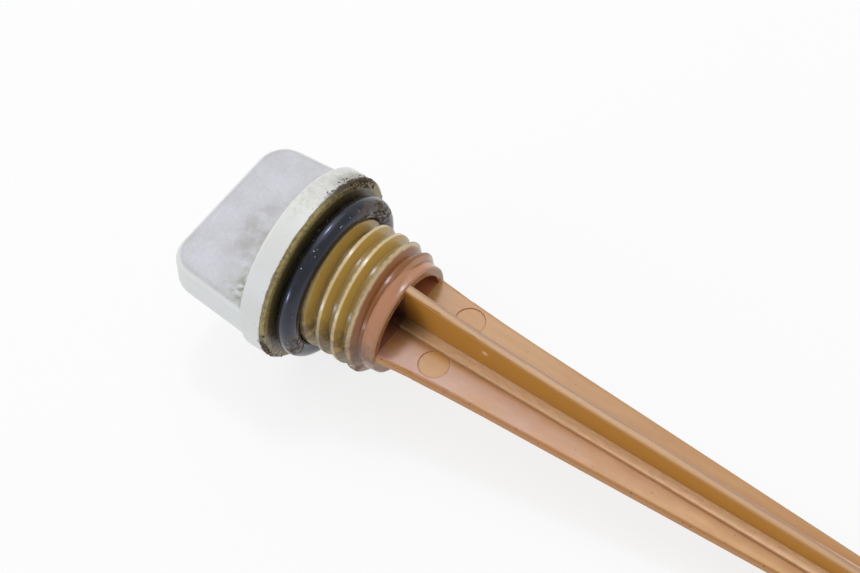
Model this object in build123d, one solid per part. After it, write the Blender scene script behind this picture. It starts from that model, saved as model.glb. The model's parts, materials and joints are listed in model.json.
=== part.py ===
from build123d import *
import math
import os

# Screw-in engine oil dipstick: a nylon moulding with grip, flange, threaded hollow boss and ribbed blade, and a
# rubber ring on its seat. It is drawn with its axis along +X, the flange's front face at X = 0 and the blade's
# plate in the XY plane, then laid down as it comes to rest on its flange rim and blade tip. Sizes in millimetres.

# Flange that closes the filler hole
FLANGE_D = 28.7
FLANGE_T = 4.2
FLANGE_BEVEL = 0.45

# Grip: a flat paddle behind the flange, widest where it meets the flange
GRIP_LENGTH = 14.1
GRIP_T = 6.2
GRIP_END_W = 25.8
GRIP_RIM_INSET = 0.25
GRIP_CORNER_R = 4.5
GRIP_EDGE_R = 1.4

# Sealing ring and its seat between the flange and the thread
SEAT_D = 19.3
SEAT_L = 3.2
RING_SECTION = 3.15
RING_GAP = 0.45
RING_FLATTENED = 0.15

# Thread M20 x 2.5, right-handed, moulded with flat crests
THREAD_D = 19.8
THREAD_PITCH = 2.5
THREAD_DEPTH = 1.45
THREAD_START_DEG = -39.0
VALLEY_START = 0.3
VALLEY_FLOOR_W = 0.5
VALLEY_FLANK_DEG = 27.0
LEAD_IN_DEG = 45.0

# Boss that carries the thread, hollow from its end
BOSS_L = 14.8
PILOT_L = 0.8
PILOT_STEP = 0.08
PILOT_BEVEL = 0.2
RELIEF_DEPTH = 0.27
RELIEF_W = 0.2
HOLLOW_D = 14.2
HOLLOW_DEPTH = 10.6

# Blade: a tapered plate with a tapered rib on each face and a low strip along the ribs' feet
BLADE_L = 126.0
PLATE_T = 1.8
PLATE_ROOT_W = 15.9
PLATE_FLARE_L = 17.2
PLATE_FLARE_END_W = 13.2
PLATE_TIP_W = 4.2
PLATE_EDGE_R = 0.5
TIP_CORNER_R = 0.8
RIB_T = 1.4
RIB_ROOT_H = 8.2
RIB_FLARE_L = 29.2
RIB_FLARE_END_H = 5.85
RIB_END_H = 4.25
RIB_EDGE_R = 0.45
RUN_OUT_L = 14.0
STRIP_W = 4.4
STRIP_H = 0.55

# Flat reading zone at the tip, with its two level lines
READING_L = 23.0
LEVEL_LOW_FROM_TIP = 5.0
LEVEL_HIGH_FROM_TIP = 14.0
LEVEL_LINE_W = 0.6
LEVEL_LINE_DEPTH = 0.3

# Ejector pin marks on the upper face of the plate, one each side of the rib
MARK_D = 4.35
MARK_DEPTH = 0.12
MARK_FROM_BOSS = 7.3
MARK_SPREAD = 8.65

# How far a solid reaches into its neighbour so that the two fuse, and how far a cutter reaches past a surface
OVERLAP = 0.5

# Sizes that follow from the ones above
flange_r = FLANGE_D / 2
seat_r = SEAT_D / 2
thread_r = THREAD_D / 2
valley_r = thread_r - THREAD_DEPTH
pilot_r = valley_r - PILOT_STEP
relief_r = pilot_r - RELIEF_DEPTH
lead_in_end = BOSS_L - PILOT_L - RELIEF_DEPTH - RELIEF_W
crest_end = lead_in_end - (thread_r - relief_r) / math.tan(math.radians(LEAD_IN_DEG))
hollow_floor = BOSS_L - HOLLOW_DEPTH
blade_root = hollow_floor - OVERLAP
rib_end = BLADE_L - READING_L
run_out_start = rib_end - RUN_OUT_L
strip_top = PLATE_T / 2 + STRIP_H


def turned(outline):
    """Solid turned about the X axis from a closed outline in the XY plane."""
    return revolve(make_face(outline), axis=Axis.X)


def flange():
    """Round flange with bevelled rims."""
    disc = turned(Polyline((-FLANGE_T, 0), (-FLANGE_T, flange_r), (0, flange_r), (0, 0), close=True))
    rims = disc.edges().filter_by(GeomType.CIRCLE)
    return chamfer(rims, FLANGE_BEVEL)


def grip():
    """Flat paddle with rounded corners and soft edges, running into the back of the flange."""
    root_half = flange_r - GRIP_RIM_INSET
    end_half = GRIP_END_W / 2
    root = OVERLAP - FLANGE_T
    end = -FLANGE_T - GRIP_LENGTH
    outline = Polyline((root, -root_half), (root, root_half), (end, end_half), (end, -end_half), close=True)
    paddle = extrude(make_face(outline), GRIP_T / 2, both=True)
    upright = paddle.edges().filter_by(Axis.Z).group_by(Axis.X)[0]
    paddle = fillet(upright, GRIP_CORNER_R)
    rims = paddle.faces().filter_by(Axis.Z).edges()
    root_edges = paddle.faces().sort_by(Axis.X)[-1].edges()
    return fillet([edge for edge in rims if edge not in root_edges], GRIP_EDGE_R)


def boss_blank():
    """Boss before threading: seal seat, crest cylinder, lead-in cone, relief groove and pilot."""
    blank = turned(
        Polyline(
            (-OVERLAP, 0),
            (-OVERLAP, seat_r),
            (SEAT_L, seat_r),
            (SEAT_L, thread_r),
            (crest_end, thread_r),
            (lead_in_end, relief_r),
            (lead_in_end + RELIEF_W, relief_r),
            (BOSS_L - PILOT_L, pilot_r),
            (BOSS_L, pilot_r),
            (BOSS_L, 0),
            close=True,
        )
    )
    end_rim = blank.edges().filter_by(GeomType.CIRCLE).sort_by(Axis.X)[-1]
    return chamfer(end_rim, PILOT_BEVEL)


def thread_valley():
    """Helical valley between the thread's turns, as a cutter that runs out past the boss's end."""
    slope = math.tan(math.radians(VALLEY_FLANK_DEG))
    floor_half = VALLEY_FLOOR_W / 2
    mouth_r = thread_r + OVERLAP
    mouth_half = floor_half + (mouth_r - valley_r) * slope
    first_turn = SEAT_L + VALLEY_START
    section = Polyline(
        (valley_r, -floor_half),
        (mouth_r, -mouth_half),
        (mouth_r, mouth_half),
        (valley_r, floor_half),
        close=True,
    )
    helix = Helix(pitch=THREAD_PITCH, height=BOSS_L - first_turn + OVERLAP, radius=thread_r)
    cutter = sweep(Plane.XZ * make_face(section), path=helix, is_frenet=True)
    return Rot(THREAD_START_DEG + 90, 0, 0) * Pos(first_turn, 0, 0) * Rot(0, 90, 0) * cutter


def hollow():
    """Round hollow of the boss, open at the boss's end."""
    return Pos(hollow_floor, 0, 0) * Rot(0, 90, 0) * Cylinder(
        HOLLOW_D / 2, HOLLOW_DEPTH + OVERLAP, align=(Align.CENTER, Align.CENTER, Align.MIN)
    )


def flared_half(root_half, flare_end, flare_end_half, end, end_half):
    """Edge of a tapered outline: straight inside the boss, a flare at its end, then a straight taper."""
    taper = Line((end, end_half), (flare_end, flare_end_half))
    flare = TangentArc((flare_end, flare_end_half), (BOSS_L, root_half), tangent=taper % 1)
    inside = Line((BOSS_L, root_half), (blade_root, root_half))
    return taper + flare + inside


def mirrored_face(upper_half, root_half, end, end_half):
    """Face between an upper edge and its mirror image, closed at the root and at the end."""
    lower_half = mirror(upper_half, Plane.XZ)
    root_line = Line((blade_root, root_half), (blade_root, -root_half))
    end_line = Line((end, end_half), (end, -end_half))
    return make_face(upper_half + lower_half + root_line + end_line)


def softened(slab, axis, radius):
    """Slab with the edges of its two broad faces rounded, apart from those at its root."""
    rims = slab.faces().filter_by(axis).edges()
    root_edges = slab.faces().sort_by(Axis.X)[0].edges()
    return fillet([edge for edge in rims if edge not in root_edges], radius)


def plate():
    """Tapered plate of the blade, with a squared tip of rounded corners."""
    root_half = PLATE_ROOT_W / 2
    tip_half = PLATE_TIP_W / 2
    edge = flared_half(root_half, BOSS_L + PLATE_FLARE_L, PLATE_FLARE_END_W / 2, BLADE_L, tip_half)
    slab = extrude(mirrored_face(edge, root_half, BLADE_L, tip_half), PLATE_T / 2, both=True)
    corners = slab.edges().filter_by(Axis.Z).group_by(Axis.X)[-1]
    slab = fillet(corners, TIP_CORNER_R)
    return softened(slab, Axis.Z, PLATE_EDGE_R)


def ribs():
    """Upper and lower rib in one upright slab, running out before the reading zone."""
    foot_half = PLATE_T / 4
    edge = flared_half(RIB_ROOT_H, BOSS_L + RIB_FLARE_L, RIB_FLARE_END_H, run_out_start, RIB_END_H)
    edge = Line((rib_end, foot_half), (run_out_start, RIB_END_H)) + edge
    slab = extrude(mirrored_face(edge, RIB_ROOT_H, rib_end, foot_half), RIB_T / 2, both=True)
    return Rot(90, 0, 0) * softened(slab, Axis.Z, RIB_EDGE_R)


def strips():
    """Low strips along the ribs' feet on both faces of the plate, with a round end."""
    length = rib_end - blade_root
    bar = Pos(blade_root + length / 2, 0, 0) * Box(length, STRIP_W, 2 * strip_top)
    end_corners = bar.edges().filter_by(Axis.Z).group_by(Axis.X)[-1]
    return fillet(end_corners, STRIP_W / 2 - OVERLAP)


def level_lines():
    """Cutters for the two level lines across the reading zone."""
    cutters = []
    for from_tip in (LEVEL_LOW_FROM_TIP, LEVEL_HIGH_FROM_TIP):
        notch = Polyline(
            (-LEVEL_LINE_W / 2, 0), (LEVEL_LINE_W / 2, 0), (0, -LEVEL_LINE_DEPTH), close=True
        )
        bar = extrude(Plane.XZ * make_face(notch), PLATE_ROOT_W, both=True)
        cutters.append(Pos(BLADE_L - from_tip, 0, PLATE_T / 2) * bar)
    return cutters


def ejector_marks():
    """Cutters for the round ejector pin marks either side of the rib."""
    cutters = []
    for side in (-1, 1):
        pin = Cylinder(MARK_D / 2, MARK_DEPTH * 2)
        cutters.append(Pos(BOSS_L + MARK_FROM_BOSS, side * MARK_SPREAD / 2, PLATE_T / 2) * pin)
    return cutters


def dipstick_moulding():
    """The whole moulding as one solid."""
    threaded = boss_blank() - thread_valley() - hollow()
    blade = plate() + ribs() + strips() - level_lines() - ejector_marks()
    return flange() + grip() + threaded + blade


def o_ring():
    """Sealing ring, its round section flattened where it grips the seat."""
    centre_x = RING_GAP + RING_SECTION / 2
    centre_r = seat_r + RING_SECTION / 2 - RING_FLATTENED
    section = Pos(centre_x, centre_r) * Circle(RING_SECTION / 2)
    below_seat = Pos(centre_x, seat_r) * Rectangle(
        RING_SECTION, RING_SECTION, align=(Align.CENTER, Align.MAX)
    )
    return revolve(section - below_seat, axis=Axis.X)


def resting_tilt():
    """Angle in degrees by which the blade dips when the flange's front rim and the tip's edge both touch the table."""
    along = BLADE_L - PLATE_EDGE_R + FLANGE_BEVEL
    across = flange_r - (PLATE_T / 2 - PLATE_EDGE_R)
    return math.degrees(math.atan2(across, along) - math.asin(PLATE_EDGE_R / math.hypot(along, across)))


moulding = Rot(0, resting_tilt(), 0) * dipstick_moulding()
ring = Rot(0, resting_tilt(), 0) * o_ring()

# The origin is under the middle of the laid-down part, on the table
reach = moulding.bounding_box()
laid = Pos(-reach.center().X, -reach.center().Y, -reach.min.Z)

os.makedirs("parts", exist_ok=True)
export_step(laid * moulding, "parts/dipstick_moulding.step")
export_step(laid * ring, "parts/o_ring.step")
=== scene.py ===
"""Looks of a screw-in engine oil dipstick: an oil-stained nylon moulding with its black sealing ring."""

import json
import logging
import math
import random
from dataclasses import dataclass, field
from enum import Enum
from statistics import NormalDist
from typing import Any, Sequence

import bmesh
import bpy
from mathutils import Matrix, Vector, noise


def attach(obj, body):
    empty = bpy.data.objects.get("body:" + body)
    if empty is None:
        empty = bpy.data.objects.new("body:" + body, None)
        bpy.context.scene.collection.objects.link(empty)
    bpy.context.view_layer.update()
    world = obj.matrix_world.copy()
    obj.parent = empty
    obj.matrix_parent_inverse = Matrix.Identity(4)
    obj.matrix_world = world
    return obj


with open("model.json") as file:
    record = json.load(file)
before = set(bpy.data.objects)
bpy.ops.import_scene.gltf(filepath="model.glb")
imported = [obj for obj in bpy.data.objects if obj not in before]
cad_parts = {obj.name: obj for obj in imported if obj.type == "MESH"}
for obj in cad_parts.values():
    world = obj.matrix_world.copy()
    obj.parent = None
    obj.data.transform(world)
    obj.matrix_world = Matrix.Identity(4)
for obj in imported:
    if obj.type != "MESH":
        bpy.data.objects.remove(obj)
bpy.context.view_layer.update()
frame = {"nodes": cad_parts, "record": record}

LOG = logging.getLogger("dipstick")
MM = 0.001
IMAGE_WIDTH_PX = 860
SWEEP_START = -62.0
NOSE_FROM_FLANGE_MM = 14.3
UP = (0.0, 0.0, 1.0)
WHITE = (1.0, 1.0, 1.0, 1.0)
NOISE_MIDDLE = 0.5
NOISE_SPREAD = 0.1
NOISE_ROUGHNESS = 0.55
SPECK_WARP = 1.6
SPECK_DENSITY = 0.6
SPECK_EDGE = (0.42, 0.28)
BEVEL_SAMPLES = 6

Socket = bpy.types.NodeSocket
Tone = str
Triple = tuple[float, float, float]
Layer = tuple[Tone, Socket, float]


class Node(str, Enum):
    """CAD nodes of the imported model."""

    MOULDING = "dipstick_moulding"
    RING = "o_ring"


class Body(str, Enum):
    """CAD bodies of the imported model."""

    ROOT = "root"


class Slot(str, Enum):
    """Material slots of the record."""

    NYLON = "nylon"
    RUBBER = "seal_rubber"


def linear(tone: Tone) -> tuple[float, float, float, float]:
    """Turns an sRGB hex tone into linear colour.

    Args:
        tone: six hex digits after a hash.

    Returns:
        Red, green, blue and alpha for a shader socket.
    """
    parts = [int(tone[i:i + 2], 16) / 255 for i in (1, 3, 5)]
    red, green, blue = (p / 12.92 if p <= 0.04045 else ((p + 0.055) / 1.055) ** 2.4 for p in parts)
    return red, green, blue, 1.0


def add(tree: bpy.types.NodeTree, kind: str, links: dict[Any, Any] | None = None,
        **settings: Any) -> bpy.types.Node:
    """Adds one shader node with its settings and links.

    Args:
        tree: node tree that takes the node.
        kind: type of the node, without the words that every shader node's type starts with.
        links: name or number of each input, with the socket that feeds it or its plain value.
        settings: the node's own options.

    Returns:
        The new node.
    """
    node = tree.nodes.new("ShaderNode" + kind)
    for option, value in settings.items():
        setattr(node, option, value)
    for key, value in (links or {}).items():
        if isinstance(value, Socket):
            tree.links.new(value, node.inputs[key])
        else:
            node.inputs[key].default_value = value
    return node


def placed(name: str, mesh: bmesh.types.BMesh, material: bpy.types.Material) -> bpy.types.Object:
    """Turns a finished mesh into an object of the scene, shaded smooth.

    Args:
        name: the object's name.
        mesh: its mesh, which is freed.
        material: its material.

    Returns:
        The object.
    """
    data = bpy.data.meshes.new(name)
    mesh.to_mesh(data)
    mesh.free()
    data.shade_smooth()
    data.materials.append(material)
    piece = bpy.data.objects.new(name, data)
    bpy.context.scene.collection.objects.link(piece)
    return piece


@dataclass(frozen=True)
class OwnFrame:
    """The part's own frame: X along its axis from the flange's front face to the tip, Z up from the plate.

    Attributes:
        origin: middle of the flange's front face, in the row frame, in metres.
        dip: angle by which the axis dips towards the tip, in radians.
    """

    origin: Vector
    dip: float

    @classmethod
    def from_record(cls, record: dict[str, Any]) -> "OwnFrame":
        """Reads the frame from the record's pilot nose.

        Args:
            record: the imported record.

        Returns:
            The own frame of the lying part.
        """
        nose = next(m for m in record["mounts"] if m["name"] == "pilot_nose")
        axis = Vector(nose["axis"])
        return cls(Vector(nose["pos_m"]) - axis * NOSE_FROM_FLANGE_MM * MM, math.atan2(-axis.z, axis.x))

    def turn(self) -> Matrix:
        """The rotation from the own frame to the row frame."""
        return Matrix.Rotation(self.dip, 3, "Y")

    def point(self, x: float, y: float, z: float) -> Vector:
        """The row-frame place, in metres, of an own-frame point in millimetres."""
        return self.origin + self.turn() @ Vector((x, y, z)) * MM

    def around(self, x: float, radius: float, degrees: float) -> Vector:
        """The row-frame place of a point at a radius and an angle about the axis, from +Y towards +Z."""
        a = math.radians(degrees)
        return self.point(x, radius * math.cos(a), radius * math.sin(a))


class FinishTree:
    """A material's node tree, with the part's own coordinates in millimetres at hand."""

    def __init__(self, name: str, own: OwnFrame) -> None:
        """Starts an empty material.

        Args:
            name: the material's name.
            own: the part's own frame.
        """
        self.own = own
        self.material = bpy.data.materials.new(name)
        self.material.use_nodes = True
        self.tree = self.material.node_tree
        self.tree.nodes.clear()
        place = add(self.tree, "TexCoord").outputs["Object"]
        links = {0: place, 1: own.origin, 2: (0.0, own.dip, 0.0), 3: (MM, MM, MM)}
        self.mm: Socket = add(self.tree, "Mapping", links, vector_type="TEXTURE").outputs[0]
        self.x, self.y, self.z = add(self.tree, "SeparateXYZ", {0: self.mm}).outputs
        across = add(self.tree, "CombineXYZ", {1: self.y, 2: self.z}).outputs[0]
        self.radius: Socket = add(self.tree, "VectorMath", {0: across}, operation="LENGTH").outputs["Value"]
        turn = add(self.tree, "Math", {0: self.z, 1: self.y}, operation="ARCTAN2").outputs[0]
        degrees = add(self.tree, "Math", {0: turn}, operation="DEGREES").outputs[0]
        links = {0: degrees, 1: SWEEP_START + 360.0, 2: SWEEP_START}
        self.sweep: Socket = add(self.tree, "Math", links, operation="WRAP").outputs[0]

    def rising(self, value: Socket, low: float, high: float) -> Socket:
        """Marks where a value has gone from one limit to another.

        Args:
            value: what is looked at.
            low: where the mark starts.
            high: where it is full, which may be the lower number of the two.

        Returns:
            0 up to the first limit and 1 from the second, with a smooth rise between them.
        """
        links = {0: value, 1: low, 2: high}
        return add(self.tree, "MapRange", links, interpolation_type="SMOOTHSTEP").outputs[0]

    def between(self, value: Socket, low: float, high: float, soft: float) -> Socket:
        """Marks where a value lies between two limits.

        Args:
            value: what is looked at.
            low: lower limit.
            high: upper limit.
            soft: width of the fade at each limit.

        Returns:
            1 inside the limits and 0 outside them.
        """
        half = soft / 2
        above = self.rising(value, low - half, low + half)
        return self.joint(above, self.rising(value, high + half, high - half))

    def spot(self, middle: Triple, reach: Triple) -> Socket:
        """Marks a soft spot.

        Args:
            middle: its middle in the own frame, in millimetres.
            reach: how far it goes along each own axis.

        Returns:
            1 in its middle and 0 from its edge on.
        """
        off = add(self.tree, "VectorMath", {0: self.mm, 1: middle}, operation="SUBTRACT").outputs[0]
        share = add(self.tree, "VectorMath", {0: off, 1: reach}, operation="DIVIDE").outputs[0]
        distance = add(self.tree, "VectorMath", {0: share}, operation="LENGTH").outputs["Value"]
        return self.rising(distance, 1.0, 0.0)

    def moved(self, value: Socket, by: Socket, times: float) -> Socket:
        """A value moved by a pattern times a number."""
        return add(self.tree, "Math", {0: by, 1: times, 2: value}, operation="MULTIPLY_ADD").outputs[0]

    def plus(self, value: Socket, number: float) -> Socket:
        """A value with a number added."""
        return add(self.tree, "Math", {0: value, 1: number}, operation="ADD").outputs[0]

    def either(self, *marks: Socket) -> Socket:
        """Marks where any of several marks holds.

        Args:
            marks: the marks.

        Returns:
            The largest of them.
        """
        result = marks[0]
        for mark in marks[1:]:
            result = add(self.tree, "Math", {0: result, 1: mark}, operation="MAXIMUM").outputs[0]
        return result

    def other(self, mark: Socket) -> Socket:
        """Marks where a mark doesn't hold."""
        return add(self.tree, "Math", {0: 1.0, 1: mark}, operation="SUBTRACT").outputs[0]

    def facing(self, direction: Triple, low: float, high: float) -> Socket:
        """Marks surfaces that face a direction of the own frame.

        Args:
            direction: the direction.
            low: cosine at which the mark starts.
            high: cosine at which it is full.

        Returns:
            1 where the surface faces that way.
        """
        world = self.own.turn() @ Vector(direction).normalized()
        normal = add(self.tree, "NewGeometry").outputs["Normal"]
        cosine = add(self.tree, "VectorMath", {0: normal, 1: world}, operation="DOT_PRODUCT").outputs["Value"]
        return self.rising(cosine, low, high)

    def clouds(self, size: float, seed: float, stretch: float = 1.0, detail: float = 3.0) -> Socket:
        """Gives a cloudy value about 0.5.

        Args:
            size: width of a cloud, in millimetres.
            seed: number that sets one pattern apart from another.
            stretch: how many times longer a cloud is along the part.
            detail: how many finer layers the clouds have.

        Returns:
            The cloudy value.
        """
        scale = (1 / (size * stretch), 1 / size, 1 / size)
        shrunk = add(self.tree, "VectorMath", {0: self.mm, 1: scale}, operation="MULTIPLY").outputs[0]
        links = {"Vector": shrunk, "W": seed, "Scale": 1.0, "Detail": detail, "Roughness": NOISE_ROUGHNESS}
        return add(self.tree, "TexNoise", links, noise_dimensions="4D").outputs["Fac"]

    def blotches(self, size: float, share: float, soft: float, seed: float,
                 stretch: float = 1.0, detail: float = 3.0) -> Socket:
        """Marks cloudy blotches.

        Args:
            size: width of a blotch, in millimetres.
            share: share of the surface that they cover.
            soft: how softly they end, from 0 up.
            seed: number that sets one pattern apart from another.
            stretch: how many times longer a blotch is along the part.
            detail: how many finer layers the outline has.

        Returns:
            1 in a blotch and 0 between them.
        """
        value = self.clouds(size, seed, stretch, detail)
        middle = NormalDist(NOISE_MIDDLE, NOISE_SPREAD).inv_cdf(1 - share)
        return self.rising(value, middle - soft / 2, middle + soft / 2)

    def specks(self, size: float, share: float, seed: float) -> Socket:
        """Marks scattered specks.

        Args:
            size: width of a speck, in millimetres.
            share: share of the speck places that hold one.
            seed: number that sets one pattern apart from another.

        Returns:
            1 in a speck and 0 between them.
        """
        warp = {0: self.clouds(size * 2, seed + 0.7), 1: (SPECK_WARP * size,) * 3, 2: self.mm}
        bent = add(self.tree, "VectorMath", warp, operation="MULTIPLY_ADD").outputs[0]
        links = {"Vector": bent, "W": seed, "Scale": SPECK_DENSITY / size}
        cell = add(self.tree, "TexVoronoi", links, voronoi_dimensions="4D")
        chance = add(self.tree, "SeparateColor", {0: cell.outputs["Color"]}).outputs[0]
        kept = add(self.tree, "Math", {0: chance, 1: 1 - share}, operation="GREATER_THAN").outputs[0]
        return self.joint(kept, self.rising(cell.outputs["Distance"], *SPECK_EDGE))

    def joint(self, *marks: Socket) -> Socket:
        """Marks where all of several marks hold.

        Args:
            marks: the marks.

        Returns:
            Their product.
        """
        result = marks[0]
        for mark in marks[1:]:
            result = add(self.tree, "Math", {0: result, 1: mark}, operation="MULTIPLY").outputs[0]
        return result

    def layered(self, ground: Tone, layers: Sequence[Layer]) -> Socket:
        """Lays tones over a ground tone.

        Args:
            ground: the lowest tone.
            layers: each next tone, where it lies, and how strongly.

        Returns:
            The colour.
        """
        colour: Any = linear(ground)
        for tone, mark, strength in layers:
            amount = add(self.tree, "Math", {0: mark, 1: strength}, operation="MULTIPLY").outputs[0]
            links = {0: amount, 6: colour, 7: linear(tone)}
            colour = add(self.tree, "Mix", links, data_type="RGBA").outputs[2]
        return colour

    def levelled(self, ground: float, layers: Sequence[tuple[float, Socket]]) -> Socket:
        """Lays plain numbers over a ground number, such as roughnesses.

        Args:
            ground: the lowest number.
            layers: each next number and where it lies.

        Returns:
            The number.
        """
        value: Any = ground
        for level, mark in layers:
            value = add(self.tree, "Mix", {0: mark, 2: value, 3: level}, data_type="FLOAT").outputs[0]
        return value

    def relief(self, edge: float, steps: Sequence[tuple[Socket, float]]) -> Socket:
        """Rounds the edges a little and lays fine relief over the surface.

        Args:
            edge: radius that the mould leaves on an edge, in millimetres.
            steps: each height pattern and its depth, in millimetres.

        Returns:
            The surface's normal.
        """
        normal = add(self.tree, "Bevel", {"Radius": edge * MM}, samples=BEVEL_SAMPLES).outputs[0]
        for height, depth in steps:
            links = {"Height": height, "Distance": depth * MM, "Strength": 1.0, "Normal": normal}
            normal = add(self.tree, "Bump", links).outputs[0]
        return normal

    def close(self, **inputs: Any) -> bpy.types.Material:
        """Ends the tree in one shader.

        Args:
            inputs: the shader's inputs, with an underscore for each blank of their names.

        Returns:
            The finished material.
        """
        links = {name.replace("_", " "): value for name, value in inputs.items()}
        shader = add(self.tree, "BsdfPrincipled", links).outputs[0]
        add(self.tree, "OutputMaterial", {"Surface": shader})
        return self.material


@dataclass(frozen=True)
class StainedNylon:
    """Nylon 6, injection moulded, off-white, stained amber where it stands in hot engine oil.

    A moulded nylon skin is satin, so it shows a broad soft sheen and no mirror image. The white grip is
    greyed by handling, and its top faces carry a painted lilac sky reflection. Below the flange the oil has
    gone into the skin, which turns it a see-through amber, olive on the thread and pink on the pilot. Sheen,
    highlights, light and shade are also painted into the colour on the boss and blade, where named. Places
    are in the own frame, in millimetres and degrees.
    """

    name: str = "nylon_moulded_oil_stained"
    white: Tone = "#dcddd8"
    handled_and_painted_sky: Tone = "#c9cacf"
    smudge: Tone = "#958f86"
    olive_film: Tone = "#9d9c84"
    olive_grime: Tone = "#70724f"
    green_film: Tone = "#c3c7b2"
    front_stain: Tone = "#a3935c"
    front_dry: Tone = "#b3a275"
    dirt: Tone = "#35281a"
    rim_brown: Tone = "#5b4a30"
    thread_valley: Tone = "#b79644"
    thread_flank: Tone = "#bd9a4c"
    back_flank_painted_sheen: Tone = "#bcae88"
    crest_wear_and_highlight: Tone = "#d0bd94"
    crest_dirt: Tone = "#7b7463"
    burnt: Tone = "#8c5326"
    burnt_crest_wear_and_highlight: Tone = "#b07e58"
    pink: Tone = "#b98463"
    end_face_painted_shade: Tone = "#7f4b2d"
    oil_dirt_and_shade_dark: Tone = "#2c180d"
    hollow_red: Tone = "#9a5734"
    thread_grime: Tone = "#4d3e2e"
    amber: Tone = "#b3824a"
    plate_near: Tone = "#ca985f"
    plate_far: Tone = "#c3965a"
    lilac_painted_sheen: Tone = "#c9a092"
    flank_gold: Tone = "#b57d2c"
    rib_top: Tone = "#c79c6c"
    rib_streak: Tone = "#8c7674"
    strip_painted_light: Tone = "#edc69c"
    edge_orange: Tone = "#b0783c"
    edge_speck: Tone = "#6a472a"
    mark_tone: Tone = "#c08a34"
    mark_ring: Tone = "#a06a3c"
    pale_speck: Tone = "#dcc8a4"
    pale_edge_wear_and_highlight: Tone = "#dcbc98"
    valley_painted_shade: Tone = "#6f5424"
    far_mouth_painted_light: Tone = "#c07a52"
    foot_orange: Tone = "#aa6c2f"
    tip_pale: Tone = "#dfb47c"
    dusty: Tone = "#7d7566"
    ior: float = 1.53
    flange_back: float = -4.2
    ring_outer: float = 12.65
    boss_end: float = 14.8
    bevel: float = 0.45
    thread_pitch: float = 2.5
    last_crest: float = 12.52
    crest_half: float = 0.26
    foot_half: float = 1.0
    plate_half: float = 0.9
    rib_half: float = 0.7
    strip_half: float = 2.2
    mark_x: float = 22.1
    mark_y: float = 4.325
    mark_radius: float = 2.175
    rough_dry: float = 0.38
    rough_oiled: float = 0.27
    rough_boss: float = 0.18
    rough_clouds: float = 0.14
    edge_round: float = 0.16
    wave_size: float = 4.0
    wave_depth: float = 0.05
    grain_size: float = 0.35
    grain_depth: float = 0.006
    glow_weight: float = 0.2
    glow_reach: Triple = (1.0, 0.55, 0.3)

    def grip(self, ft: FinishTree) -> list[Layer]:
        """Layers of the grip: handled top with a painted lilac sky reflection, soft smudges, and grime along
        the flange.

        Args:
            ft: the material's tree.

        Returns:
            The layers.
        """
        up = ft.facing(UP, 0.75, 0.95)
        top = ft.joint(up, ft.rising(ft.x, self.flange_back + 0.2, self.flange_back - 0.1))
        smudged = ft.joint(top, ft.spot((-10.0, -1.5, 2.7), (5.0, 9.0, 6.0)), ft.blotches(2.2, 0.5, 0.4, 1.0))
        by_flange = ft.joint(top, ft.rising(ft.x, -11.0, -5.5), ft.blotches(1.1, 0.4, 0.35, 2.0))
        corner = ft.joint(top, ft.rising(ft.x, -8.2, -5.8), ft.rising(ft.y, -3.0, -8.5),
                          ft.rising(ft.y, -13.2, -12.0))
        seam = ft.joint(top, ft.rising(ft.x, -9.0, -6.0), ft.rising(ft.y, 4.0, 0.0))
        return [
            # Partly handling grime, partly a painted lilac sky reflection: the grip's top faces take a
            # greyer, bluer tone.
            (self.handled_and_painted_sky, top, 0.95),
            (self.smudge, ft.joint(top, ft.blotches(4.0, 0.35, 0.5, 15.0)), 0.3),
            (self.smudge, ft.joint(top, ft.blotches(0.5, 0.35, 0.3, 36.0)), 0.14),
            (self.smudge, smudged, 0.8),
            (self.olive_film, by_flange, 0.65),
            (self.olive_grime, ft.joint(seam, ft.specks(0.3, 0.16, 4.0)), 0.5),
            (self.olive_grime, ft.joint(corner, ft.blotches(0.9, 0.5, 0.2, 16.0, detail=5.0)), 0.8),
        ]

    def flange(self, ft: FinishTree) -> list[Layer]:
        """Layers of the flange: clean rim, dirt along its front edge, and the oily front face, with painted
        shade next to the ring.

        Args:
            ft: the material's tree.

        Returns:
            The layers.
        """
        rim = ft.joint(ft.between(ft.x, self.flange_back, 0.1, 0.05), ft.rising(ft.radius, 13.8, 14.0))
        film = ft.joint(rim, ft.spot((-2.7, -0.8, 14.3), (2.0, 4.0, 3.0)), ft.blotches(0.8, 0.5, 0.3, 17.0))
        heavy = ft.either(ft.between(ft.sweep, 24.0, 80.0, 26.0), ft.between(ft.sweep, 182.0, 225.0, 20.0))
        reach = ft.moved(ft.x, ft.clouds(0.8, 3.0, detail=5.0), 2.2)
        caked = ft.joint(rim, heavy, ft.rising(reach, 0.2, 0.5))
        wide = ft.moved(ft.x, ft.clouds(1.6, 40.0, detail=5.0), 3.0)
        smear = ft.joint(rim, ft.between(ft.sweep, 22.0, 66.0, 22.0), ft.rising(wide, -1.5, 0.4))
        line = ft.joint(rim, ft.rising(ft.moved(ft.x, ft.clouds(1.3, 34.0), 0.6), -0.3, -0.16))
        bevel = ft.joint(ft.rising(ft.x, 0.05 - self.bevel, 0.1 - self.bevel), ft.rising(ft.x, 0.2, 0.1))
        front = ft.joint(bevel, ft.rising(ft.radius, 9.6, 9.9))
        dry = ft.joint(front, ft.between(ft.sweep, 180.0, 225.0, 16.0), ft.blotches(1.2, 0.6, 0.2, 18.0))
        greyed = ft.joint(rim, ft.between(ft.sweep, 40.0, 92.0, 20.0), ft.blotches(0.9, 0.4, 0.4, 39.0))
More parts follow.
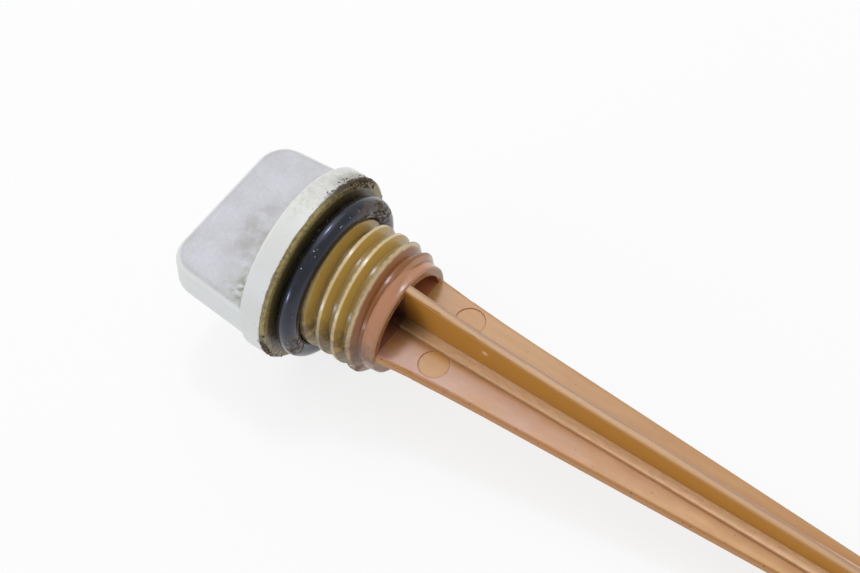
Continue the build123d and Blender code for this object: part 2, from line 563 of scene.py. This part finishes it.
        return [
            (self.green_film, film, 0.8),
            (self.dirt, ft.joint(rim, ft.rising(ft.x, -2.2, -0.4), ft.specks(0.16, 0.04, 19.0)), 0.7),
            (self.smudge, greyed, 0.3),
            (self.dusty, smear, 0.65),
            (self.rim_brown, line, 0.75),
            (self.front_stain, front, 1.0),
            (self.front_dry, dry, 0.8),
            (self.rim_brown, ft.joint(front, ft.blotches(0.6, 0.35, 0.2, 6.0)), 0.6),
            # Painted shade: the front face darkens to the dirt's tone next to the ring.
            (self.dirt, ft.joint(front, ft.rising(ft.radius, self.ring_outer + 0.7, self.ring_outer)), 0.75),
            (self.dirt, caked, 0.9),
            (self.dirt, ft.joint(front, heavy, ft.blotches(0.7, 0.5, 0.15, 20.0)), 0.75),
        ]

    def thread(self, ft: FinishTree) -> list[Layer]:
        """Layers of the boss: olive thread with worn crests that carry a painted highlight, back flanks with
        a painted sheen, painted shade in the valleys, burnt last turn, pink pilot, end face in painted shade,
        and a dark hollow with painted light on its far wall by the mouth.

        Args:
            ft: the material's tree.

        Returns:
            The layers.
        """
        boss = ft.joint(ft.between(ft.x, 0.3, self.boss_end + 0.1, 0.05), ft.rising(ft.radius, 8.0, 8.15))
        along = ft.moved(ft.x, ft.sweep, -self.thread_pitch / 360)
        links = {0: ft.plus(along, -self.last_crest), 1: self.thread_pitch / 2, 2: -self.thread_pitch / 2}
        phase = add(ft.tree, "Math", links, operation="WRAP").outputs[0]
        crest = ft.joint(boss, ft.between(phase, -self.crest_half, self.crest_half, 0.1))
        flank = ft.joint(boss, ft.between(phase, self.crest_half, self.foot_half, 0.12))
        back = ft.joint(boss, ft.between(phase, -self.foot_half, -self.crest_half, 0.12))
        line = ft.joint(boss, ft.between(phase, -0.36, -0.12, 0.12), ft.blotches(0.8, 0.5, 0.3, 7.0))
        oiled = ft.moved(along, ft.clouds(1.0, 8.0), 0.5)
        last = self.last_crest - self.thread_pitch
        burnt = ft.joint(boss, ft.rising(oiled, last + 0.3, last + 0.55))
        wide = ft.moved(ft.x, ft.rising(ft.sweep, 55.0, 105.0), 0.75)
        pilot = ft.joint(boss, ft.rising(ft.moved(wide, ft.clouds(1.0, 35.0), 0.3), 13.5, 13.8),
                         ft.rising(ft.x, self.boss_end - 0.01, self.boss_end - 0.03))
        end = ft.joint(ft.between(ft.x, self.boss_end - 0.03, self.boss_end + 0.05, 0.02),
                       ft.rising(ft.radius, 6.9, 7.0))
        low = ft.joint(boss, ft.rising(ft.sweep, 142.0, 185.0), ft.blotches(1.3, 0.75, 0.3, 26.0))
        high = ft.joint(boss, ft.rising(ft.sweep, 50.0, 20.0), ft.blotches(1.3, 0.5, 0.3, 27.0))
        inside = ft.joint(ft.between(ft.x, 0.0, self.boss_end - 0.02, 0.05), ft.rising(ft.radius, 7.35, 7.25))
        return [
            (self.thread_valley, boss, 1.0),
            (self.thread_flank, flank, 0.9),
            # Painted sheen: the back flanks are paler and greyer, as if a grazing light caught them.
            (self.back_flank_painted_sheen, back, 0.8),
            # Painted shade: the valleys between the turns are darkened.
            (self.valley_painted_shade, ft.joint(boss, ft.other(ft.between(phase, -1.02, 1.02, 0.3))), 0.6),
            # Partly wear, partly a painted highlight: the crests are paler than the flanks.
            (self.crest_wear_and_highlight, crest, 0.85),
            (self.crest_dirt, line, 0.75),
            (self.burnt, burnt, 0.95),
            # Partly wear, partly a painted highlight on the crests of the burnt turn.
            (self.burnt_crest_wear_and_highlight, ft.joint(burnt, crest), 0.8),
            (self.pink, pilot, 0.9),
            (self.thread_grime, low, 0.75),
            (self.thread_grime, high, 0.55),
            # Painted shade: the boss's end face, which faces away from the light, is dark red-brown.
            (self.end_face_painted_shade, end, 1.0),
            (self.oil_dirt_and_shade_dark, ft.joint(end, ft.blotches(0.9, 0.4, 0.25, 28.0)), 0.6),
            (self.hollow_red, inside, 0.95),
            # Painted light: the hollow's far wall near the mouth is lighter, where light comes in.
            (self.far_mouth_painted_light, ft.joint(inside, ft.rising(ft.y, 0.0, 3.0), ft.rising(ft.x, 9.0, 13.0)), 0.85),
        ]

    def blade(self, ft: FinishTree) -> list[Layer]:
        """Layers of the blade: plate with a painted lilac sheen, golden rib flanks, streaked rib tops with a
        painted highlight on the near edge, strips made pale with painted light, marks, edges with a painted
        highlight, and painted shade at the root.

        Args:
            ft: the material's tree.

        Returns:
            The layers.
        """
        blade = ft.rising(ft.x, self.boss_end - 0.02, self.boss_end + 0.02)
        up = ft.joint(blade, ft.facing(UP, 0.6, 0.9))
        side = add(ft.tree, "Math", {0: ft.y}, operation="ABSOLUTE").outputs[0]
        plate = ft.joint(up, ft.rising(side, self.strip_half - 0.05, self.strip_half + 0.05))
        near = ft.joint(plate, ft.rising(ft.y, 0.5, -0.5))
        far = ft.joint(plate, ft.rising(ft.y, -0.5, 0.5))
        root = ft.rising(ft.x, 62.0, 15.0)
        streaks = ft.blotches(0.9, 0.5, 0.4, 11.0, 14.0)
        # Painted sheen: a lilac haze on the near plate's top by the root, where a broad highlight would lie.
        painted_sheen = ft.joint(near, root, ft.rising(ft.y, -2.2, -5.0), ft.blotches(2.4, 0.7, 0.4, 5.0, 2.5))
        rib = ft.joint(blade, ft.rising(side, self.rib_half + 0.15, self.rib_half + 0.05))
        top = ft.joint(rib, up)
        flanks = ft.joint(rib, ft.other(ft.facing(UP, 0.3, 0.6)))
        strip = ft.joint(blade, ft.between(side, self.rib_half + 0.1, self.strip_half + 0.06, 0.05),
                         ft.rising(ft.z, self.plate_half + 0.02, self.plate_half + 0.08))
        strip_side = ft.joint(strip, ft.other(ft.facing(UP, 0.4, 0.7)))
        foot = ft.joint(plate, ft.rising(side, self.strip_half + 0.35, self.strip_half + 0.05), streaks)
        edge = ft.joint(blade, ft.other(ft.facing(UP, 0.75, 0.97)), ft.rising(side, 2.0, 2.3),
                        ft.between(ft.z, -1.0, 0.95, 0.05))
        strip_line = ft.joint(strip, ft.rising(side, self.strip_half - 0.3, self.strip_half - 0.1), root,
                              ft.blotches(1.0, 0.75, 0.3, 37.0, 6.0))
        gutter = ft.joint(plate, ft.rising(side, self.strip_half + 1.6, self.strip_half))
        warm = ft.joint(plate, ft.blotches(1.6, 0.5, 0.5, 38.0, 9.0))
        place = add(ft.tree, "CombineXYZ", {0: ft.x, 1: side}).outputs[0]
        links = {0: place, 1: (self.mark_x, self.mark_y, 0.0)}
        from_mark = add(ft.tree, "VectorMath", links, operation="DISTANCE").outputs["Value"]
        mark = ft.joint(plate, ft.rising(from_mark, self.mark_radius, self.mark_radius - 0.1))
        mark_ring = ft.joint(plate, ft.between(from_mark, self.mark_radius - 0.06, self.mark_radius + 0.06,
                                               0.08))
        shade = ft.joint(ft.spot((13.6, -0.5, 1.5), (7.0, 5.5, 8.0)), ft.rising(ft.y, 1.4, 0.4))
        smear_edge = ft.moved(ft.y, ft.clouds(2.0, 29.0, 8.0), 1.2)
        smear = ft.joint(top, ft.rising(smear_edge, 0.55, 0.85))
        return [
            (self.amber, blade, 1.0),
            (self.plate_near, near, 1.0),
            (self.plate_far, far, 1.0),
            (self.plate_near, ft.joint(far, ft.rising(ft.x, 40.0, 15.0)), 0.5),
            (self.tip_pale, ft.joint(near, ft.rising(ft.x, 42.0, 60.0)), 0.8),
            (self.foot_orange, warm, 0.4),
            (self.foot_orange, gutter, 0.55),
            (self.lilac_painted_sheen, painted_sheen, 0.9),
            (self.edge_orange, ft.joint(near, ft.blotches(2.6, 0.42, 0.5, 41.0, 2.0)), 0.4),
            (self.hollow_red, ft.joint(near, ft.rising(ft.x, 19.5, 14.8)), 0.4),
            (self.edge_speck, foot, 0.3),
            (self.flank_gold, flanks, 1.0),
            (self.rib_top, top, 1.0),
            (self.rib_streak, smear, 0.55),
            # Painted highlight: a pale line along the near edge of the rib's top.
            (self.pale_edge_wear_and_highlight, ft.joint(top, root, ft.rising(ft.y, -0.3, -0.55)), 0.6),
            # Painted light: the strip's top is made pale against the shadow that the rib casts on it.
            (self.strip_painted_light, ft.joint(strip, ft.rising(ft.x, 14.0, 22.0)), 1.0),
            (self.amber, ft.joint(strip, ft.blotches(0.5, 0.4, 0.4, 42.0, 3.0)), 0.3),
            (self.foot_orange, strip_side, 0.45),
            (self.pale_edge_wear_and_highlight, strip_line, 0.8),
            (self.edge_orange, edge, 1.0),
            # Painted highlight: a pale line where the plate's edge rounding turns upwards.
            (self.pale_edge_wear_and_highlight, ft.joint(edge, ft.facing(UP, 0.72, 0.84)), 0.2),
            (self.edge_speck, ft.joint(edge, ft.specks(0.3, 0.22, 9.0)), 0.7),
            (self.mark_tone, ft.joint(mark, ft.rising(ft.y, 0.5, -0.5)), 0.95),
            (self.mark_tone, ft.joint(mark, ft.rising(ft.y, -0.5, 0.5)), 0.25),
            (self.mark_ring, mark_ring, 0.4),
            # Painted shade: a dark spot where the rib and the plate run into the boss's mouth.
            (self.oil_dirt_and_shade_dark, shade, 0.9),
            (self.edge_speck, ft.joint(up, ft.specks(0.2, 0.012, 30.0)), 0.6),
            (self.pale_speck, ft.spot((28.1, -0.7, 4.5), (0.8, 0.4, 0.6)), 0.9),
        ]

    def material(self, own: OwnFrame) -> bpy.types.Material:
        """Makes the material.

        Args:
            own: the part's own frame.

        Returns:
            The finished material.
        """
        ft = FinishTree(self.name, own)
        layers = self.grip(ft) + self.flange(ft) + self.thread(ft) + self.blade(ft)
        oiled = ft.rising(ft.x, -0.03, 0.01)
        boss = ft.between(ft.x, 0.3, self.boss_end + 0.1, 0.05)
        rough = ft.levelled(self.rough_dry, [(self.rough_oiled, oiled), (self.rough_boss, boss)])
        cloudy = ft.moved(rough, ft.clouds(1.6, 12.0), self.rough_clouds)
        waves, grain = ft.clouds(self.wave_size, 14.0), ft.clouds(self.grain_size, 13.0)
        # A mould's own grain is finer. It is drawn as coarse as it needs to be to show.
        normal = ft.relief(self.edge_round, [(waves, self.wave_depth), (grain, self.grain_depth)])
        return ft.close(Base_Color=ft.layered(self.white, layers), Roughness=cloudy, IOR=self.ior,
                        Normal=normal, Subsurface_Weight=self.glow_weight,
                        Subsurface_Radius=self.glow_reach, Subsurface_Scale=MM)


@dataclass(frozen=True)
class MouldedRubber:
    """Nitrile rubber, moulded and deflashed, wet with oil and dusted with road dirt.

    Carbon-filled rubber is a deep neutral black. Oil on it gives a bluish sheen and small sharp lights, dirt
    takes them away, and dust keeps to it as pale specks.
    """

    name: str = "nitrile_rubber_moulded"
    black: Tone = "#0f0f14"
    greyed: Tone = "#2c2a25"
    dust: Tone = "#b5b4b0"
    clay: Tone = "#5a452b"
    sheen: Tone = "#c9d4ff"
    ior: float = 1.52
    rough_clean: float = 0.2
    rough_film: float = 0.3
    rough_caked: float = 0.7
    coat_weight: float = 0.35
    coat_rough: float = 0.1
    coat_ior: float = 1.5
    edge_round: float = 0.05
    skin_size: float = 0.6
    skin_depth: float = 0.004

    def material(self, own: OwnFrame) -> bpy.types.Material:
        """Makes the material.

        Args:
            own: the part's own frame.

        Returns:
            The finished material.
        """
        ft = FinishTree(self.name, own)
        film = ft.blotches(1.4, 0.4, 0.35, 21.0)
        top = ft.joint(ft.between(ft.sweep, 12.0, 66.0, 16.0), ft.rising(ft.x, 2.4, 2.9))
        low = ft.joint(ft.between(ft.sweep, 178.0, 206.0, 12.0), ft.rising(ft.x, 2.2, 2.7))
        caked = ft.joint(ft.either(top, low), ft.blotches(0.9, 0.55, 0.15, 22.0))
        layers: list[Layer] = [
            (self.greyed, film, 0.35),
            (self.clay, caked, 0.95),
            (self.dust, ft.specks(0.16, 0.018, 24.0), 0.85),
        ]
        rough = ft.levelled(self.rough_clean, [(self.rough_film, film), (self.rough_caked, caked)])
        wet = ft.levelled(self.coat_weight, [(0.0, caked)])
        normal = ft.relief(self.edge_round, [(ft.clouds(self.skin_size, 25.0), self.skin_depth)])
        return ft.close(Base_Color=ft.layered(self.black, layers), Roughness=rough, IOR=self.ior,
                        Normal=normal, Specular_Tint=linear(self.sheen), Coat_Weight=wet,
                        Coat_Roughness=self.coat_rough, Coat_IOR=self.coat_ior)


@dataclass(frozen=True)
class OilyGrit:
    """Road grit and clay bound with oil: dull, dark, crumbly, with a few paler grains."""

    name: str = "grit_bound_with_oil"
    dark: Tone = "#3a2d1a"
    clay: Tone = "#6d5635"
    pale: Tone = "#8d7f66"
    ior: float = 1.5
    rough: float = 0.7
    edge_round: float = 0.03
    grain_size: float = 0.15
    grain_depth: float = 0.02

    def material(self, own: OwnFrame) -> bpy.types.Material:
        """Makes the material.

        Args:
            own: the part's own frame.

        Returns:
            The finished material.
        """
        ft = FinishTree(self.name, own)
        layers: list[Layer] = [
            (self.clay, ft.blotches(0.5, 0.45, 0.2, 31.0), 0.8),
            (self.pale, ft.specks(0.15, 0.12, 32.0), 0.7),
        ]
        normal = ft.relief(self.edge_round, [(ft.clouds(self.grain_size, 33.0), self.grain_depth)])
        return ft.close(Base_Color=ft.layered(self.dark, layers), Roughness=self.rough, IOR=self.ior,
                        Normal=normal)


@dataclass
class Moulding:
    """The one-piece nylon moulding: grip, flange, threaded boss and ribbed blade."""

    finish: StainedNylon = field(default_factory=StainedNylon)

    def dress(self, own: OwnFrame) -> bpy.types.Object:
        """Gives the CAD node its finish.

        Args:
            own: the part's own frame.

        Returns:
            The dressed node.
        """
        node = frame["nodes"][Node.MOULDING.value]
        node.data.materials.clear()
        node.data.materials.append(self.finish.material(own))
        return node


@dataclass
class RunOut:
    """The moulded run-out that closes the last turn of the thread down to the pilot.

    It follows the last turn round the boss: steep beyond the turn at the top, and a broad band further round,
    where the turn fades. Places are in the own frame, in millimetres and degrees.

    Attributes:
        name: the piece's name.
        pitch: the thread's pitch.
        foot_at_zero: axial place of the last turn's foot at angle 0.
        flank_slope: rise of the turn's flank, as radius per length.
        core_radius: radius of the thread's core.
        cone_sum: axial place plus radius, the same all along the 45 degree lead-in cone.
        pilot_end: where the run-out ends on the pilot.
        pilot_radius: its radius there.
        steep_until: angle up to which it falls at 45 degrees.
        gentle_from: angle from which it falls evenly to the pilot's end.
        start: first angle.
        stop: last angle.
        step: angle between two outlines.
        stations: spans of each outline.
        sunk_radius: radius of the underside.
        sharp_from: angle between two faces from which their edge is shaded sharp.
    """

    name: str = "thread_run_out"
    pitch: float = 2.5
    foot_at_zero: float = 11.52
    flank_slope: float = 1.963
    core_radius: float = 8.455
    cone_sum: float = 21.64
    pilot_end: float = 14.61
    pilot_radius: float = 8.385
    steep_until: float = 45.0
    gentle_from: float = 110.0
    start: int = -60
    stop: int = 296
    step: int = 2
    stations: int = 12
    sunk_radius: float = 7.6
    sharp_from: float = 40.0

    def ring(self, degrees: float) -> list[tuple[float, float]]:
        """Draws the run-out's outline at one angle.

        Args:
            degrees: the angle about the axis.

        Returns:
            Axial place and radius of each station, from the last turn to the pilot's end.
        """
        foot = self.foot_at_zero + self.pitch * degrees / 360
        first = (self.cone_sum - self.core_radius + self.flank_slope * foot) / (1 + self.flank_slope)
        first = min(first, self.cone_sum - self.core_radius)
        top = self.cone_sum - first
        gentle = (top - self.pilot_radius) / (self.pilot_end - first)
        share = min(max((degrees - self.steep_until) / (self.gentle_from - self.steep_until), 0.0), 1.0)
        slope = 1.0 + (gentle - 1.0) * share
        outline = []
        for i in range(self.stations + 1):
            x = first + (self.pilot_end - first) * i / self.stations
            floor = self.pilot_radius + (self.core_radius - self.pilot_radius) * (1 - i / self.stations)
            outline.append((x, max(top - slope * (x - first), floor)))
        return outline

    def build(self, own: OwnFrame, material: bpy.types.Material) -> bpy.types.Object:
        """Builds the run-out.

        Args:
            own: the part's own frame.
            material: the moulding's finish.

        Returns:
            The piece, riding on the part.
        """
        mesh = bmesh.new()
        rings = []
        for degrees in range(self.start, self.stop + 1, self.step):
            outline = self.ring(degrees)
            # The underside lies inside the boss's wall, which closes the piece.
            under = [(x, self.sunk_radius) for x, _ in reversed(outline)]
            rings.append([mesh.verts.new(own.around(x, radius, degrees)) for x, radius in outline + under])
        corners = len(rings[0])
        for before, after in zip(rings, rings[1:]):
            for i in range(corners):
                j = (i + 1) % corners
                mesh.faces.new((before[i], before[j], after[j], after[i]))
        for cap in (rings[0], rings[-1]):
            for i in range(self.stations):
                j = corners - 1 - i
                mesh.faces.new((cap[i], cap[i + 1], cap[j - 1], cap[j]))
        bmesh.ops.recalc_face_normals(mesh, faces=mesh.faces)
        for edge in mesh.edges:
            edge.smooth = edge.calc_face_angle() < math.radians(self.sharp_from)
        piece = placed(self.name, mesh, material)
        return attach(piece, Body.ROOT.value)


@dataclass
class SealRing:
    """The black sealing ring under the flange."""

    finish: MouldedRubber = field(default_factory=MouldedRubber)

    def dress(self, own: OwnFrame) -> bpy.types.Object:
        """Gives the CAD node its finish.

        Args:
            own: the part's own frame.

        Returns:
            The dressed node.
        """
        node = frame["nodes"][Node.RING.value]
        node.data.materials.clear()
        node.data.materials.append(self.finish.material(own))
        return node


@dataclass(frozen=True)
class CrumbBelt:
    """A stretch of surface, turned about the axis, that dirt crumbs stick to.

    Attributes:
        start: where the belt's line starts, as axial place and radius in millimetres.
        end: where it ends.
        middle: angle of its middle about the axis, in degrees.
        half: half of its angle.
        count: number of crumbs.
        small: width of the smallest crumb, in millimetres.
        large: width of the largest.
    """

    start: tuple[float, float]
    end: tuple[float, float]
    middle: float
    half: float
    count: int
    small: float
    large: float


@dataclass
class Grit:
    """Crumbs of oily dirt along the flange's front rim and on the sealing ring.

    Attributes:
        finish: what the crumbs are made of.
        seed: start of the random draws.
        subdivisions: how finely a crumb's ball is divided.
        noise_range: how far apart two crumbs' patterns may lie.
        across: smallest and largest squeeze of a crumb in two directions.
        upright: the same in the third.
        lump_height: height of a crumb's lumps, as a share of its width.
        lump_count: about how many lumps go across it.
        favour_small: power that makes small crumbs more common than large ones.
        belts: each piece's belts of crumbs.
    """

    finish: OilyGrit = field(default_factory=OilyGrit)
    seed: int = 41
    subdivisions: int = 2
    noise_range: int = 50
    across: tuple[float, float] = (0.7, 1.2)
    upright: tuple[float, float] = (0.6, 1.0)
    lump_height: float = 0.45
    lump_count: float = 2.2
    favour_small: float = 2.5
    belts: dict[str, list[CrumbBelt]] = field(default_factory=lambda: {
        "rim_grit": [
            CrumbBelt((-0.5, 14.37), (0.01, 13.9), 46.0, 27.0, 170, 0.1, 0.42),
            CrumbBelt((0.03, 13.9), (0.03, 13.1), 44.0, 22.0, 60, 0.1, 0.4),
            CrumbBelt((-1.9, 14.36), (-0.4, 14.36), 62.0, 26.0, 60, 0.07, 0.24),
            CrumbBelt((-0.47, 14.35), (-0.34, 14.25), 124.0, 62.0, 120, 0.05, 0.15),
            CrumbBelt((-0.45, 14.35), (0.02, 13.8), 196.0, 20.0, 80, 0.1, 0.4),
            CrumbBelt((-0.42, 14.33), (0.0, 13.95), 298.0, 88.0, 90, 0.07, 0.25),
        ],
        "ring_grit": [
            CrumbBelt((3.1, 12.25), (3.62, 11.05), 44.0, 24.0, 110, 0.12, 0.42),
            CrumbBelt((2.9, 12.4), (3.62, 11.2), 190.0, 13.0, 46, 0.12, 0.42),
        ],
    })

    def crumb(self, mesh: bmesh.types.BMesh, place: Vector, width: float, rng: random.Random) -> None:
        """Adds one crumb.

        Args:
            mesh: mesh that takes it.
            place: its middle, in metres.
            width: its width, in millimetres.
            rng: the seeded source of its shape.
        """
        ball = bmesh.ops.create_icosphere(mesh, subdivisions=self.subdivisions, radius=width / 2 * MM)
        shift = Vector([rng.uniform(0, self.noise_range) for _ in range(3)])
        sides = (self.across, self.across, self.upright)
        squeeze = Matrix.Diagonal([rng.uniform(*side) for side in sides])
        angle = rng.uniform(0, math.tau)
        turn = Matrix.Rotation(angle, 3, Vector((rng.random(), rng.random(), rng.random() + 0.1)))
        for vert in ball["verts"]:
            bulge = 1 + self.lump_height * noise.noise(vert.co / (width * MM) * self.lump_count + shift)
            vert.co = place + turn @ squeeze @ vert.co * bulge

    def build(self, name: str, own: OwnFrame, material: bpy.types.Material) -> bpy.types.Object:
        """Builds one piece of grit from its belts.

        Args:
            name: the piece's name.
            own: the part's own frame.
            material: its finish.

        Returns:
            The piece, riding on the part.
        """
        rng = random.Random(f"{self.seed}{name}")
        mesh = bmesh.new()
        for belt in self.belts[name]:
            for _ in range(belt.count):
                width = belt.small + (belt.large - belt.small) * rng.random() ** self.favour_small
                degrees = rng.triangular(belt.middle - belt.half, belt.middle + belt.half, belt.middle)
                share = rng.random()
                x = belt.start[0] + (belt.end[0] - belt.start[0]) * share
                radius = belt.start[1] + (belt.end[1] - belt.start[1]) * share
                self.crumb(mesh, own.around(x, radius, degrees), width, rng)
        piece = placed(name, mesh, material)
        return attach(piece, Body.ROOT.value)

    def build_all(self, own: OwnFrame) -> list[bpy.types.Object]:
        """Builds every piece of grit.

        Args:
            own: the part's own frame.

        Returns:
            The pieces.
        """
        material = self.finish.material(own)
        return [self.build(name, own, material) for name in self.belts]


@dataclass(frozen=True)
class SoftLamp:
    """A square soft lamp.

    Attributes:
        name: its name.
        toward: direction from the part to the lamp, in the own frame.
        distance: how far away it hangs, in metres.
        size: width of its square, in metres.
        watts: its power.
        tone: its tone.
    """

    name: str
    toward: tuple[float, float, float]
    distance: float
    size: float
    watts: float
    tone: Tone


@dataclass
class Studio:
    """The pale floor and the soft light over it."""

    lit_place: tuple[float, float, float] = (30.0, 0.0, 0.0)
    floor_radius: float = 4.0
    floor_segments: int = 96
    floor_tone: Tone = "#f2f2f2"
    floor_glow: float = 0.8
    sky_tone: Tone = "#fbfaf8"
    sky_strength: float = 0.68
    lamps: tuple[SoftLamp, ...] = (
        SoftLamp("softbox", (-0.34, 0.3, 0.89), 0.6, 0.6, 0.9, "#fffdf8"),
        SoftLamp("lamp", (-0.34, 0.3, 0.9), 0.6, 0.1, 0.8, "#e4eaff"),
        SoftLamp("window", (-0.45, -0.88, 0.12), 0.6, 0.07, 0.6, "#d3dfff"),
    )

    def backdrop_share(self, tree: bpy.types.NodeTree) -> Socket:
        """Marks the rays that see the backdrop: the camera's own, glossy and transmitted ones.

        Args:
            tree: node tree that takes the nodes.

        Returns:
            1 for those rays.
        """
        path = add(tree, "LightPath").outputs
        links = {0: path["Is Camera Ray"], 1: path["Is Glossy Ray"]}
        first = add(tree, "Math", links, operation="MAXIMUM").outputs[0]
        links = {0: first, 1: path["Is Transmission Ray"]}
        return add(tree, "Math", links, operation="MAXIMUM").outputs[0]

    def floor(self) -> bpy.types.Object:
        """Builds the floor, which takes the shadow and looks white.

        Returns:
            The floor.
        """
        mesh = bmesh.new()
        bmesh.ops.create_circle(mesh, cap_ends=True, segments=self.floor_segments, radius=self.floor_radius)
        material = bpy.data.materials.new("floor_card_matt_white")
        material.use_nodes = True
        tree = material.node_tree
        tree.nodes.clear()
        card = add(tree, "BsdfDiffuse", {"Color": linear(self.floor_tone)}).outputs[0]
        glow = add(tree, "Emission", {"Color": WHITE, "Strength": 1.0}).outputs[0]
        links = {0: self.backdrop_share(tree), 1: self.floor_glow}
        share = add(tree, "Math", links, operation="MULTIPLY").outputs[0]
        mixed = add(tree, "MixShader", {0: share, 1: card, 2: glow}).outputs[0]
        add(tree, "OutputMaterial", {"Surface": mixed})
        floor = placed("floor", mesh, material)
        return floor

    def sky(self) -> None:
        """Makes the world: even soft light, white where the camera sees it."""
        world = bpy.data.worlds.new("studio")
        bpy.context.scene.world = world
        world.use_nodes = True
        tree = world.node_tree
        tree.nodes.clear()
        soft = add(tree, "Background", {0: linear(self.sky_tone), 1: self.sky_strength}).outputs[0]
        white = add(tree, "Background", {0: WHITE, 1: 1.0}).outputs[0]
        seen = add(tree, "LightPath").outputs["Is Camera Ray"]
        mixed = add(tree, "MixShader", {0: seen, 1: soft, 2: white}).outputs[0]
        add(tree, "OutputWorld", {"Surface": mixed})

    def light(self, own: OwnFrame) -> None:
        """Hangs the lamps.

        Args:
            own: the part's own frame.
        """
        for soft in self.lamps:
            light = bpy.data.lights.new(soft.name, "AREA")
            light.shape = "SQUARE"
            light.size = soft.size
            light.energy = soft.watts
            light.color = linear(soft.tone)[:3]
            lamp = bpy.data.objects.new(soft.name, light)
            bpy.context.scene.collection.objects.link(lamp)
            away = own.turn() @ Vector(soft.toward).normalized()
            lamp.location = own.point(*self.lit_place) + away * soft.distance
            lamp.rotation_mode = "QUATERNION"
            lamp.rotation_quaternion = (-away).to_track_quat("-Z", "Y")


@dataclass
class PhotoCamera:
    """A camera at the photograph's viewing angle.

    Attributes:
        aim: own-frame point at the image's middle, in millimetres.
        distance: from the camera to that point, in millimetres.
        azimuth: angle about the vertical from which the camera looks, in degrees.
        elevation: angle above the horizon.
        roll: turn about the line of sight.
        focal_px: focal length, in pixels of the image.
        sensor: width of its sensor, in millimetres.
        clip_start: nearest distance that it sees, in metres.
    """

    aim: tuple[float, float, float] = (13.813, 6.287, 0.0)
    distance: float = 364.58
    azimuth: float = 43.307
    elevation: float = 52.175
    roll: float = -9.208
    focal_px: float = 2600.0
    sensor: float = 36.0
    clip_start: float = 0.01

    def build(self, own: OwnFrame) -> bpy.types.Object:
        """Sets up the camera.

        Args:
            own: the part's own frame.

        Returns:
            The camera.
        """
        data = bpy.data.cameras.new("photo_camera")
        data.sensor_width = self.sensor
        data.lens = self.sensor * self.focal_px / IMAGE_WIDTH_PX
        data.clip_start = self.clip_start
        camera = bpy.data.objects.new("photo_camera", data)
        bpy.context.scene.collection.objects.link(camera)
        a, e = math.radians(self.azimuth), math.radians(self.elevation)
        back = Vector((math.sin(a) * math.cos(e), -math.cos(a) * math.cos(e), math.sin(e)))
        camera.location = own.point(*self.aim) + back * self.distance * MM
        level = (-back).to_track_quat("-Z", "Y").to_matrix()
        camera.rotation_mode = "QUATERNION"
        roll = Matrix.Rotation(math.radians(self.roll), 3, "Z")
        camera.rotation_quaternion = (level @ roll).to_quaternion()
        bpy.context.scene.camera = camera
        return camera


def main() -> None:
    """Builds the scene piece by piece."""
    logging.basicConfig(level=logging.INFO, format="%(message)s")
    bpy.context.scene.view_settings.view_transform = "Standard"
    own = OwnFrame.from_record(frame["record"])
    PhotoCamera().build(own)
    studio = Studio()
    studio.floor()
    studio.sky()
    studio.light(own)
    moulding = Moulding().dress(own)
    run_out = RunOut().build(own, moulding.data.materials[0])
    pieces = [moulding, run_out, SealRing().dress(own), *Grit().build_all(own)]
    for piece in pieces:
        LOG.info("%s: %d faces", piece.name, len(piece.data.polygons))


if __name__ == "__main__":
    main()
